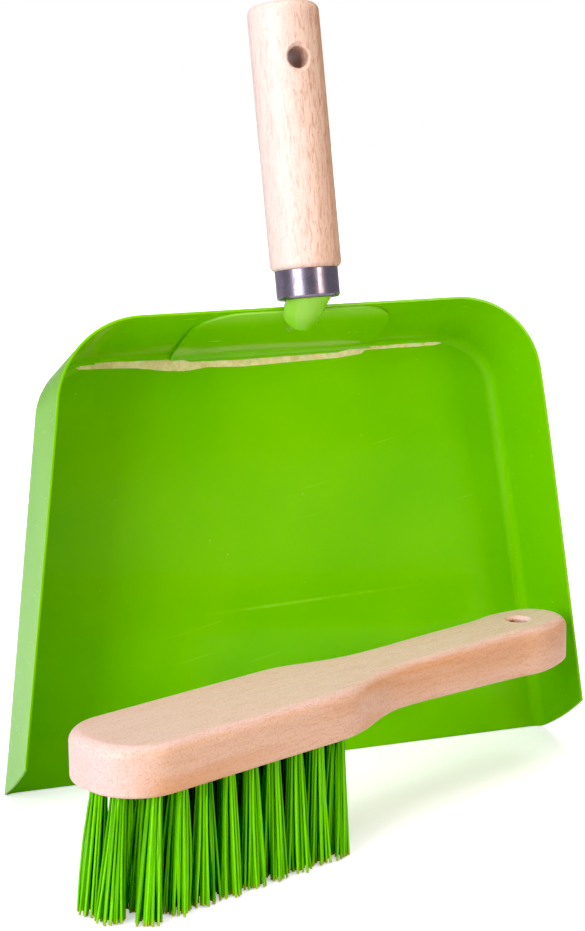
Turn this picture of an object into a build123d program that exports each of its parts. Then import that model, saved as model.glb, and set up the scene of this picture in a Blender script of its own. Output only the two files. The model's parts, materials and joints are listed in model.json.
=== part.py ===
"""Dust pan and brush set: an enamelled steel pan with a wooden handle, and a bench brush.

The pan stands on its lip, leaning back a little, and the brush stands on its bristles in
front of it. Millimetres, +Z up, +X to the right across the pan, +Y towards the back. The
origin is the middle of the floor under the whole set.
"""
import math
import os

from build123d import *

# Where the two things stand
PAN_X = 1.2
PAN_Y = 64.45
PAN_LEAN = 3.5
BRUSH_X = -104.0
BRUSH_Y = -58.15
BRUSH_YAW = 23.0

# Tray: sheet metal, wider at the lip than at the back
SHEET = 0.8
LIP_WIDTH = 215.0
FOLD_WIDTH = 174.0
TRAY_DEPTH = 154.6
SIDE_FLARE = 2.6
BACK_FLARE = 25.1
FOLD_CORNER = 22.4
RIM_CORNER = 34.0
FOLD_ROUND = 5.0
LIP_DEPTH = 17.4
LIP_DROP = 0.9
LIP_SOFTEN = 40.0
LIP_EDGE = 1.2
FRONT_CUT_V = 18.0
FRONT_CUT_BULGE = 1.0
RIM_HEIGHTS = [(18.0, 36.1), (62.0, 37.8), (108.0, 39.3), (142.0, 39.7), (160.0, 38.6), (172.0, 36.8)]
LOFT_BELOW = 4.0
LOFT_ABOVE = 46.0

# Bracket plate with its drawn neck, welded to the inside of the back wall
PLATE = 1.0
PLATE_FOOT_WIDTH = 77.0
PLATE_TOP_WIDTH = 74.0
PLATE_TOP = 39.2
PLATE_CORNER = 3.6
PLATE_SHOULDER = 17.0
PLATE_FOOT_TURN = 50.0
DART_SECTIONS = [(20.5, 0.6), (29.0, 3.0), (37.0, 6.9)]
NECK_RADIUS = 7.9
RIM_CLEARANCE = 0.5
TANG_WIDTH = 14.0
TANG_THICK = 1.2
TANG_LENGTH = 44.0

# Pan handle and ferrule; positions run along the handle axis from the wood shoulder
HANDLE_V = 184.6
HANDLE_W = 41.3
HANDLE_TILT = -6.9
HANDLE_SIDE_TILT = 1.0
HANDLE_RADIUS = 12.45
HANDLE_LENGTH = 91.5
HANDLE_TOP_ROUND = 3.2
HANDLE_FOOT_ROUND = 2.0
SPIGOT_RADIUS = 10.2
SPIGOT_LENGTH = 9.0
SLOT_CLEARANCE = 0.2
SLOT_DEPTH = 36.5
FERRULE_RADIUS = 11.0
FERRULE_WALL = 0.7
FERRULE_LENGTH = 10.2
FERRULE_LIP_RADIUS = 8.9
FERRULE_ROUND = 1.1
HANG_HOLE_RADIUS = 3.75
HANG_HOLE_ALONG = 71.6
HANG_SINK_RADIUS = 5.2
HANG_SINK_DEPTH = 1.5

# Brush block, laid out from the head's left end
BRISTLE_LENGTH = 41.4
BLOCK_THICK = 16.3
BLOCK_WIDTH = 41.3
HEAD_CORNER = 18.0
HEAD_END = -1.9
HEAD_STRAIGHT = 85.5
SHOULDER_POINTS = [(98.0, 18.9), (108.5, 15.6), (119.5, 13.3), (134.5, 12.6), (160.0, 12.9), (186.0, 13.3)]
BRUSH_LENGTH = 215.5
GRIP_END_RADIUS = 12.5
GRIP_END_TURN = 76.0
UNDER_START = 98.5
GRIP_UNDER = [(113.5, 1.2), (131.5, 1.3), (166.0, 0.1), (200.0, -0.6), (222.0, 0.4)]
UNDER_DROP = 3.0
BLOCK_TOP_ROUND = 4.0
BLOCK_UNDER_ROUND = 1.8
EDGE_BAND = 0.6
ACROSS_TOLERANCE = 0.001
BRUSH_HOLE_S = 195.5
BRUSH_HOLE_RADIUS = 3.5
BRUSH_SINK_RADIUS = 5.0
BRUSH_SINK_DEPTH = 1.3

# Tufts: ranks along the head, rows across it
RANKS = 10
FIRST_OUTER_S = 14.0
FIRST_INNER_S = 18.2
RANK_PITCH = 9.62
OUTER_ROW_T = 13.8
INNER_ROW_T = 4.7
END_RANK_S = 7.4
TUFT_RADIUS = 2.5
TUFT_HOLE_RADIUS = 2.6
TUFT_HOLE_DEPTH = 9.6
TUFT_SEAT = 7.2
TUFT_FOOT_RADIUS = 4.55
TUFT_SPLAYS = [-5.6, -4.2, -2.4, -1.3, -0.7, -0.3, 0.0, -0.2, -0.6, -1.2]
ANCHOR_WIDTH = 4.8
ANCHOR_HEIGHT = 1.8
ANCHOR_THICK = 0.5
ANCHOR_GAP = 0.3

os.makedirs("parts", exist_ok=True)

lean = math.radians(PAN_LEAN)
pan_v = Vector(0, math.sin(lean), math.cos(lean))
pan_w = Vector(0, -math.cos(lean), math.sin(lean))
pan_origin = Vector(PAN_X, PAN_Y, 0) + pan_w * LIP_DROP
pan_floor = Plane(origin=pan_origin, x_dir=(1, 0, 0), z_dir=pan_w)
pan_side = Plane(origin=pan_origin, x_dir=pan_v, z_dir=(1, 0, 0))
back_rad = math.radians(BACK_FLARE)
side_tan = math.tan(math.radians(SIDE_FLARE))
taper = (LIP_WIDTH - FOLD_WIDTH) / 2 / TRAY_DEPTH


def pan_point(x, v, w):
    """A point given across the pan, along its floor from the lip, and up from the floor."""
    return pan_origin + Vector(x, 0, 0) + pan_v * v + pan_w * w


def half_width(v, w, inset):
    """Half the tray width at a place along the floor and a height above it."""
    return LIP_WIDTH / 2 - taper * v + w * side_tan - inset


def plan_outline(w, inset, corner):
    """Tray outline at one height, open ended past the lip, as a sketch on the pan floor."""
    front = -LIP_DEPTH
    back = TRAY_DEPTH + w * math.tan(back_rad) - inset / math.cos(back_rad)
    with BuildSketch(pan_floor.offset(w)) as outline:
        with BuildLine():
            Polyline(
                (half_width(front, w, inset), front),
                (half_width(back, w, inset), back),
                (-half_width(back, w, inset), back),
                (-half_width(front, w, inset), front),
                close=True,
            )
        make_face()
        fillet(outline.vertices().group_by(Axis.Y)[-1], radius=corner)
    return outline.sketch


def tray_body(inset):
    """Solid block with the tray's shape, its walls and floor moved inwards by the inset."""
    slope = (RIM_CORNER - FOLD_CORNER) / LOFT_ABOVE
    low_corner = FOLD_CORNER - slope * LOFT_BELOW - inset
    high_corner = RIM_CORNER - inset
    floor = inset
    with BuildPart() as body:
        add(plan_outline(-LOFT_BELOW, inset, low_corner))
        add(plan_outline(LOFT_ABOVE, inset, high_corner))
        loft(ruled=True)
        with BuildSketch(pan_side) as profile:
            with BuildLine():
                Polyline(
                    (-LIP_DEPTH, floor - 2 * LIP_DROP),
                    (LIP_DEPTH, floor),
                    (2 * TRAY_DEPTH, floor),
                    (2 * TRAY_DEPTH, LOFT_ABOVE),
                    (-LIP_DEPTH, LOFT_ABOVE),
                    close=True,
                )
            make_face()
            fillet(profile.vertices().sort_by_distance((LIP_DEPTH, floor))[0], radius=LIP_SOFTEN)
        extrude(amount=LIP_WIDTH, both=True, mode=Mode.INTERSECT)
        folds = []
        for edge in body.edges():
            middle = edge.position_at(0.5) - pan_origin
            along = middle.dot(pan_v)
            up = middle.dot(pan_w)
            across = abs(middle.X)
            near_side = across > half_width(along, up, inset) - 0.5
            near_back = along > TRAY_DEPTH - FOLD_CORNER - 1.0
            if up < floor + 0.2 and (near_side or near_back) and along > -LIP_DEPTH + 0.5:
                folds.append(edge)
        fillet(folds, radius=FOLD_ROUND - inset)
    return body.part


outer_body = tray_body(0.0)
inner_body = tray_body(SHEET)

with BuildPart() as pan_tray:
    add(outer_body)
    add(inner_body, mode=Mode.SUBTRACT)
    with BuildSketch(pan_side):
        with BuildLine():
            front_low = (0.0, -2 * LIP_DROP)
            front_edge = (0.0, SHEET - LIP_DROP + LIP_EDGE)
            middle_v = FRONT_CUT_V / 2 - FRONT_CUT_BULGE
            middle_w = (front_edge[1] + RIM_HEIGHTS[0][1]) / 2
            Line(front_low, front_edge)
            ThreePointArc(front_edge, (middle_v, middle_w), RIM_HEIGHTS[0])
            Spline(*RIM_HEIGHTS)
            past_back = 2 * TRAY_DEPTH
            Polyline(RIM_HEIGHTS[-1], (past_back, RIM_HEIGHTS[-1][1]), (past_back, -2 * LIP_DROP), front_low)
        make_face()
    extrude(amount=LIP_WIDTH, both=True, mode=Mode.INTERSECT)
pan_tray.part.label = "pan_tray"
export_step(pan_tray.part, "parts/pan_tray.step")

# Bracket: a plate against the back wall whose foot follows the fold and whose top is
# drawn out into a pointed neck and a flat tang that runs up inside the handle
wall_dir = (math.sin(back_rad), math.cos(back_rad))
wall_in = (-math.cos(back_rad), math.sin(back_rad))
fold_v = TRAY_DEPTH - SHEET * (1 / math.cos(back_rad) - math.tan(back_rad))
fold_w = SHEET
fold_tangent = (FOLD_ROUND - SHEET) * math.tan(math.radians(90 - BACK_FLARE) / 2)


def wall_point(slant, off_wall):
    """A point in side view given up the back wall from the fold and off its inner face."""
    along = fold_v + wall_dir[0] * slant + wall_in[0] * off_wall
    above = fold_w + wall_dir[1] * slant + wall_in[1] * off_wall
    return (along, above)


up_wall = pan_v * wall_dir[0] + pan_w * wall_dir[1]


def section_circle(slant, radius):
    """A circle across the back wall's slope, centred on the middle of the plate."""
    centre = wall_point(slant, PLATE / 2)
    with BuildSketch(Plane(origin=pan_point(0, *centre), x_dir=(1, 0, 0), z_dir=up_wall)) as ring:
        Circle(radius)
    return ring.sketch


tilt = math.radians(HANDLE_TILT)
side_tilt = math.radians(HANDLE_SIDE_TILT)
upright = pan_v * math.cos(tilt) + pan_w * math.sin(tilt)
handle_dir = upright * math.cos(side_tilt) - Vector(math.sin(side_tilt), 0, 0)
handle_across = Vector(math.cos(side_tilt), 0, 0) + upright * math.sin(side_tilt)
handle_front = handle_across.cross(handle_dir) * -1
handle_origin = pan_point(0, HANDLE_V, HANDLE_W)
handle_plane = Plane(origin=handle_origin, x_dir=handle_across, z_dir=handle_dir)
handle_side = Plane(origin=handle_origin, x_dir=handle_dir, z_dir=handle_across)
off_wall = pan_v * wall_in[0] + pan_w * wall_in[1]
wall_plane = Plane(origin=pan_point(0, fold_v, fold_w), x_dir=(1, 0, 0), z_dir=off_wall)

with BuildPart() as plate_band:
    with BuildSketch(pan_side):
        with BuildLine():
            outer_radius = FOLD_ROUND - SHEET
            inner_radius = outer_radius - PLATE
            turn = math.radians(PLATE_FOOT_TURN)
            bend_v, bend_w = wall_point(fold_tangent, outer_radius)
            middle_dir = (-math.cos(back_rad + turn / 2), math.sin(back_rad + turn / 2))
            end_dir = (-math.cos(back_rad + turn), math.sin(back_rad + turn))
            top_back = wall_point(PLATE_TOP, 0)
            top_front = wall_point(PLATE_TOP, PLATE)
            low_back = wall_point(fold_tangent, 0)
            low_front = wall_point(fold_tangent, PLATE)
            foot_back = (bend_v - end_dir[0] * outer_radius, bend_w - end_dir[1] * outer_radius)
            foot_front = (bend_v - end_dir[0] * inner_radius, bend_w - end_dir[1] * inner_radius)
            middle_back = (bend_v - middle_dir[0] * outer_radius, bend_w - middle_dir[1] * outer_radius)
            middle_front = (bend_v - middle_dir[0] * inner_radius, bend_w - middle_dir[1] * inner_radius)
            Line(top_back, low_back)
            ThreePointArc(low_back, middle_back, foot_back)
            Line(foot_back, foot_front)
            ThreePointArc(foot_front, middle_front, low_front)
            Line(low_front, top_front)
            Line(top_front, top_back)
        make_face()
    extrude(amount=PLATE_FOOT_WIDTH, both=True)

with BuildPart() as neck_body:
    for section in DART_SECTIONS:
        add(section_circle(*section))
    with BuildSketch(handle_plane.offset(-FERRULE_LENGTH)):
        Circle(NECK_RADIUS)
    loft(ruled=True)
    with BuildSketch(handle_plane.offset(-FERRULE_LENGTH)):
        Circle(NECK_RADIUS)
    extrude(amount=FERRULE_LENGTH / 2)

with BuildPart() as wall_room:
    with BuildSketch(pan_side):
        with BuildLine():
            rim_top = RIM_HEIGHTS[-1][1] + RIM_CLEARANCE
            rim_slant = (rim_top - fold_w) / wall_dir[1]
            Polyline(
                wall_point(0, 0),
                wall_point(rim_slant, 0),
                (2 * TRAY_DEPTH, rim_top),
                (2 * TRAY_DEPTH, 0),
                close=True,
            )
        make_face()
    extrude(amount=LIP_WIDTH, both=True)

with BuildPart() as handle_bracket:
    add(plate_band.part)
    with BuildSketch(wall_plane) as plate_outline:
        with BuildLine():
            Polyline(
                (-PLATE_FOOT_WIDTH / 2, -FOLD_ROUND),
                (PLATE_FOOT_WIDTH / 2, -FOLD_ROUND),
                (PLATE_FOOT_WIDTH / 2, fold_tangent),
                (PLATE_TOP_WIDTH / 2, PLATE_TOP),
                (-PLATE_TOP_WIDTH / 2, PLATE_TOP),
                (-PLATE_FOOT_WIDTH / 2, fold_tangent),
                close=True,
            )
        make_face()
        fillet(plate_outline.vertices().group_by(Axis.Y)[0], radius=PLATE_CORNER)
        fillet(plate_outline.vertices().group_by(Axis.Y)[-1], radius=PLATE_SHOULDER)
    extrude(amount=TRAY_DEPTH, both=True, mode=Mode.INTERSECT)
    add(neck_body.part)
    with BuildSketch(handle_side.offset(-TANG_WIDTH / 2)):
        with Locations((TANG_LENGTH / 2 - FERRULE_LENGTH, 0)):
            Rectangle(TANG_LENGTH, TANG_THICK)
    extrude(amount=TANG_WIDTH)
    add(wall_room.part, mode=Mode.SUBTRACT)
handle_bracket.part.label = "handle_bracket"
export_step(handle_bracket.part, "parts/handle_bracket.step")

# Ferrule: a steel ring with its lower edge turned in
with BuildPart() as ferrule:
    with BuildSketch(handle_side):
        with Locations((-FERRULE_LENGTH / 2, FERRULE_RADIUS / 2)):
            Rectangle(FERRULE_LENGTH, FERRULE_RADIUS)
        with BuildLine():
            Polyline(
                (0, 0),
                (0, FERRULE_RADIUS - FERRULE_WALL),
                (FERRULE_WALL - FERRULE_LENGTH, FERRULE_RADIUS - FERRULE_WALL),
                (FERRULE_WALL - FERRULE_LENGTH, FERRULE_LIP_RADIUS),
                (-FERRULE_LENGTH, FERRULE_LIP_RADIUS),
                (-FERRULE_LENGTH, 0),
                close=True,
            )
        make_face(mode=Mode.SUBTRACT)
    revolve(axis=Axis(handle_origin, handle_dir))
    low_edges = ferrule.edges().filter_by(GeomType.CIRCLE).sort_by(Axis(handle_origin, handle_dir))
    rim_edge = [edge for edge in low_edges if abs(edge.radius - FERRULE_RADIUS) < 0.01][0]
    fillet(rim_edge, radius=FERRULE_ROUND)
ferrule.part.label = "ferrule"
export_step(ferrule.part, "parts/ferrule.step")

# Pan handle: a dowel with rounded ends, a spigot in the ferrule, a slot for the tang and
# a cross hole with a countersink on both sides for hanging
hole_centre = handle_origin + handle_dir * HANG_HOLE_ALONG
hole_plane = Plane(origin=hole_centre, x_dir=handle_dir, z_dir=handle_front)

with BuildPart() as pan_handle:
    with BuildSketch(handle_plane):
        Circle(HANDLE_RADIUS)
    extrude(amount=HANDLE_LENGTH)
    ends = pan_handle.edges().filter_by(GeomType.CIRCLE).sort_by(Axis(handle_origin, handle_dir))
    fillet(ends[-1], radius=HANDLE_TOP_ROUND)
    fillet(ends[0], radius=HANDLE_FOOT_ROUND)
    with BuildSketch(handle_plane):
        Circle(SPIGOT_RADIUS)
    extrude(amount=-SPIGOT_LENGTH)
    with BuildSketch(handle_side.offset(-TANG_WIDTH / 2 - SLOT_CLEARANCE)):
        with Locations((SLOT_DEPTH / 2 - FERRULE_LENGTH / 2, 0)):
            Rectangle(SLOT_DEPTH + FERRULE_LENGTH, TANG_THICK + SLOT_CLEARANCE)
    extrude(amount=TANG_WIDTH + 2 * SLOT_CLEARANCE, mode=Mode.SUBTRACT)
    with BuildSketch(handle_plane.offset(-FERRULE_LENGTH)):
        Circle(NECK_RADIUS + SLOT_CLEARANCE)
    extrude(amount=FERRULE_LENGTH / 2 + SLOT_CLEARANCE, mode=Mode.SUBTRACT)
    with BuildSketch(hole_plane):
        Circle(HANG_HOLE_RADIUS)
    extrude(amount=2 * HANDLE_RADIUS, both=True, mode=Mode.SUBTRACT)
    for side in (1, -1):
        mouth = Plane(origin=hole_centre, x_dir=handle_dir, z_dir=handle_front * side).offset(HANDLE_RADIUS)
        with BuildSketch(mouth):
            Circle(HANG_SINK_RADIUS)
        with BuildSketch(mouth.offset(-HANG_SINK_DEPTH)):
            Circle(HANG_HOLE_RADIUS)
        loft(ruled=True, mode=Mode.SUBTRACT)
pan_handle.part.label = "pan_handle"
export_step(pan_handle.part, "parts/pan_handle.step")

# Brush block: head, neck and grip in one piece of wood
yaw_dir = (math.cos(math.radians(BRUSH_YAW)), math.sin(math.radians(BRUSH_YAW)), 0)
side_dir = (-yaw_dir[1], yaw_dir[0], 0)
brush_floor = Plane(origin=(BRUSH_X, BRUSH_Y, 0), x_dir=yaw_dir, z_dir=(0, 0, 1))
brush_side = Plane(origin=(BRUSH_X, BRUSH_Y, 0), x_dir=yaw_dir, z_dir=(side_dir[0] * -1, side_dir[1] * -1, 0))
block_top = BRISTLE_LENGTH + BLOCK_THICK

tuft_ranks = [[(END_RANK_S, -INNER_ROW_T), (END_RANK_S, INNER_ROW_T)]]
for rank in range(RANKS - 1):
    outer_s = FIRST_OUTER_S + RANK_PITCH * rank
    inner_s = FIRST_INNER_S + RANK_PITCH * rank
    near_row = [(outer_s, -OUTER_ROW_T), (inner_s, -INNER_ROW_T)]
    far_row = [(inner_s, INNER_ROW_T), (outer_s, OUTER_ROW_T)]
    tuft_ranks.append(near_row + far_row)
tuft_places = [place for rank_places in tuft_ranks for place in rank_places]

with BuildPart() as block_side:
    with BuildSketch(brush_side):
        with BuildLine():
            grip_end = (BRUSH_LENGTH + BLOCK_WIDTH, block_top)
            under_points = [(UNDER_START, BRISTLE_LENGTH)]
            for along, rise in GRIP_UNDER:
                under_points.append((along, BRISTLE_LENGTH + rise))
            under_end = (grip_end[0], under_points[-1][1])
            Line((-BLOCK_WIDTH, BRISTLE_LENGTH), under_points[0])
            Spline(*under_points, tangents=((1, 0), (1, 0)))
            head_top = (-BLOCK_WIDTH, block_top)
            Polyline(under_points[-1], under_end, grip_end, head_top, (-BLOCK_WIDTH, BRISTLE_LENGTH))
        make_face()
    extrude(amount=BLOCK_WIDTH, both=True)



def outline_edges(edges, low, rise):
    """The edges running round the block between two heights, without those across it."""
    kept = []
    for edge in edges:
        middle = edge.position_at(0.5)
        from_end = middle - Vector(BRUSH_X, BRUSH_Y, 0)
        along = from_end.dot(Vector(*yaw_dir))
        runs_across = abs(edge.tangent_at(0.5).dot(Vector(*side_dir))) > 1 - ACROSS_TOLERANCE
        in_band = low - EDGE_BAND < middle.Z < low + rise + EDGE_BAND
        if in_band and (along < EDGE_BAND or not runs_across):
            kept.append(edge)
    return kept


with BuildPart() as brush_block:
    with BuildSketch(brush_floor.offset(BRISTLE_LENGTH - UNDER_DROP)):
        with BuildLine():
            half = BLOCK_WIDTH / 2
            corner_mid = HEAD_CORNER * (1 - math.sqrt(0.5))
            end_rad = math.radians(GRIP_END_TURN)
            end_mid = BRUSH_LENGTH - GRIP_END_RADIUS
            end_start = (end_mid + GRIP_END_RADIUS * math.cos(end_rad), GRIP_END_RADIUS * math.sin(end_rad))
            end_slope = (math.sin(end_rad), -math.cos(end_rad))
            half_rad = end_rad / 2
            half_turn = (end_mid + GRIP_END_RADIUS * math.cos(half_rad), GRIP_END_RADIUS * math.sin(half_rad))
            corner_s = HEAD_END + HEAD_CORNER
            Line((HEAD_END, 0), (HEAD_END, half - HEAD_CORNER))
            corner_point = (HEAD_END + corner_mid, half - corner_mid)
            ThreePointArc((HEAD_END, half - HEAD_CORNER), corner_point, (corner_s, half))
            Line((corner_s, half), (HEAD_STRAIGHT, half))
            Spline((HEAD_STRAIGHT, half), *SHOULDER_POINTS, end_start, tangents=((1, 0), end_slope))
            ThreePointArc(end_start, half_turn, (BRUSH_LENGTH, 0))
            Line((BRUSH_LENGTH, 0), (HEAD_END, 0))
        make_face()
        mirror(about=Plane.XZ)
    extrude(amount=BLOCK_THICK + UNDER_DROP)
    add(block_side.part, mode=Mode.INTERSECT)
    top_edges = outline_edges(brush_block.edges(), block_top, 0)
    fillet(top_edges, radius=BLOCK_TOP_ROUND)
    under_rise = UNDER_DROP + GRIP_UNDER[1][1]
    under_edges = outline_edges(brush_block.edges(), BRISTLE_LENGTH - UNDER_DROP, under_rise)
    fillet(under_edges, radius=BLOCK_UNDER_ROUND)
    with BuildSketch(brush_floor.offset(BRISTLE_LENGTH)):
        for along, across in tuft_places:
            with Locations((along, across)):
                Circle(TUFT_HOLE_RADIUS)
    extrude(amount=TUFT_HOLE_DEPTH, mode=Mode.SUBTRACT)
    with BuildSketch(brush_floor.offset(block_top)):
        with Locations((BRUSH_HOLE_S, 0)):
            Circle(BRUSH_HOLE_RADIUS)
    extrude(amount=-BLOCK_THICK - UNDER_DROP, mode=Mode.SUBTRACT)
    with BuildSketch(brush_floor.offset(block_top)):
        with Locations((BRUSH_HOLE_S, 0)):
            Circle(BRUSH_SINK_RADIUS)
    with BuildSketch(brush_floor.offset(block_top - BRUSH_SINK_DEPTH)):
        with Locations((BRUSH_HOLE_S, 0)):
            Circle(BRUSH_HOLE_RADIUS)
    loft(ruled=True, mode=Mode.SUBTRACT)
brush_block.part.label = "brush_block"
export_step(brush_block.part, "parts/brush_block.step")

# Bristle tufts, a rank at a time: each tuft fills its hole and spreads out to the floor
for rank, places in enumerate(tuft_ranks):
    number = rank + 1
    with BuildPart() as tufts:
        for along, across in places:
            with BuildSketch(brush_floor.offset(BRISTLE_LENGTH)):
                with Locations((along, across)):
                    Circle(TUFT_RADIUS)
            with BuildSketch(brush_floor):
                with Locations((along + TUFT_SPLAYS[rank], across)):
                    Circle(TUFT_FOOT_RADIUS)
            loft(ruled=True)
            with BuildSketch(brush_floor.offset(BRISTLE_LENGTH)):
                with Locations((along, across)):
                    Circle(TUFT_RADIUS)
            extrude(amount=TUFT_SEAT)
    tufts.part.label = f"tufts_rank_{number:02d}"
    export_step(tufts.part, f"parts/tufts_rank_{number:02d}.step")
    with BuildPart() as anchors:
        with BuildSketch(brush_floor.offset(BRISTLE_LENGTH + TUFT_SEAT + ANCHOR_GAP)):
            for along, across in places:
                with Locations((along, across)):
                    Rectangle(ANCHOR_THICK, ANCHOR_WIDTH)
        extrude(amount=ANCHOR_HEIGHT)
    anchors.part.label = f"anchors_rank_{number:02d}"
    export_step(anchors.part, f"parts/anchors_rank_{number:02d}.step")
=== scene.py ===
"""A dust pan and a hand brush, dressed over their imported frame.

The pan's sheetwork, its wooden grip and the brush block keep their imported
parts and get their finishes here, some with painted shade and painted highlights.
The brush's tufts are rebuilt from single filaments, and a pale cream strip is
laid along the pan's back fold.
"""

import sys

import json
import logging
import math
import random
from dataclasses import dataclass
from enum import Enum

import bpy
from mathutils import Matrix, Vector


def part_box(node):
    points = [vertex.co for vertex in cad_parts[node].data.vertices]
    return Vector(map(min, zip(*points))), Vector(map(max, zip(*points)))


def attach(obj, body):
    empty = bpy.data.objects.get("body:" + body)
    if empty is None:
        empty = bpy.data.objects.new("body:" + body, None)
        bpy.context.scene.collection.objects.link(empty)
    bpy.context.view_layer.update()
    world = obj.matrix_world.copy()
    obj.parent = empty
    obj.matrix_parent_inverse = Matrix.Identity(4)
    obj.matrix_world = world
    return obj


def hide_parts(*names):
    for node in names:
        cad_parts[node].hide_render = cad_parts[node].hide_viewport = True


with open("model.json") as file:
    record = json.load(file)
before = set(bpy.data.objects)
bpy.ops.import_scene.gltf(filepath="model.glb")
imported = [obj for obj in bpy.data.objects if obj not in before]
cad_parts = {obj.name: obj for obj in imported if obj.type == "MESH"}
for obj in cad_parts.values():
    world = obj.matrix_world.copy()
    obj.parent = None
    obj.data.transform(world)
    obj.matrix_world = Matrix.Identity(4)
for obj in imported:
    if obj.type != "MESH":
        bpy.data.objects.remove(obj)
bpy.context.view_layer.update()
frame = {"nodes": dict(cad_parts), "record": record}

MM = 0.001
STRAND_SHADE = "strand_shade"
SMOOTH_BELOW = math.radians(40)
WHITE = (1.0, 1.0, 1.0, 1.0)
CORNER_SAMPLES = 6
MIX_COVER, MIX_UNDER, MIX_OVER, MIX_RESULT = 0, 6, 7, 2

Colour = tuple[float, float, float, float]
Socket = bpy.types.NodeSocket
Shape = bpy.types.Object

log = logging.getLogger("dust_pan_set")


class Body(Enum):
    """The two things in the set that move apart."""

    DUSTPAN = "dustpan"
    BRUSH = "brush"


class Slot(Enum):
    """Names of two of the record's material slots; the script does not use them."""

    ENAMEL = "green_enamel"
    FILAMENT = "green_filament"


@dataclass(frozen=True)
class Cloud:
    """The make of a cloudy pattern: its width in metres, finer layers and twist."""

    size: float
    detail: float = 2.0
    rough: float = 0.5
    warp: float = 0.0


@dataclass(frozen=True)
class Ramp:
    """A range of values and the range that it is stretched over."""

    low: float
    high: float
    to_low: float = 0.0
    to_high: float = 1.0


@dataclass(frozen=True)
class Relief:
    """How deep a pattern is cut, in metres, and how much of it shows."""

    depth: float
    strength: float


def paint(red: int, green: int, blue: int) -> Colour:
    """Turn a colour card's values into linear light.

    Args:
        red: Red on the card, 0 to 255.
        green: Green on the card, 0 to 255.
        blue: Blue on the card, 0 to 255.

    Returns:
        The colour as linear red, green, blue and full cover.
    """

    def to_linear(level: int) -> float:
        """Undo the card's gamma for one channel."""
        share = level / 255
        return share / 12.92 if share <= 0.04045 else ((share + 0.055) / 1.055) ** 2.4

    return (to_linear(red), to_linear(green), to_linear(blue), 1.0)


def edit() -> None:
    """Go into edit mode."""
    bpy.ops.object.mode_set(mode="EDIT")


def leave_edit() -> None:
    """Go back to object mode."""
    bpy.ops.object.mode_set(mode="OBJECT")


def deselect_all() -> None:
    """Go to object mode with nothing selected."""
    if bpy.context.mode != "OBJECT":
        leave_edit()
    bpy.ops.object.select_all(action="DESELECT")


def take_up(shape: Shape) -> None:
    """Select one object alone and make it the active one.

    Args:
        shape: The object to work on.
    """
    deselect_all()
    shape.select_set(True)
    bpy.context.view_layer.objects.active = shape


EDGE_TURN = Ramp(0.985, 0.9)


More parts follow.
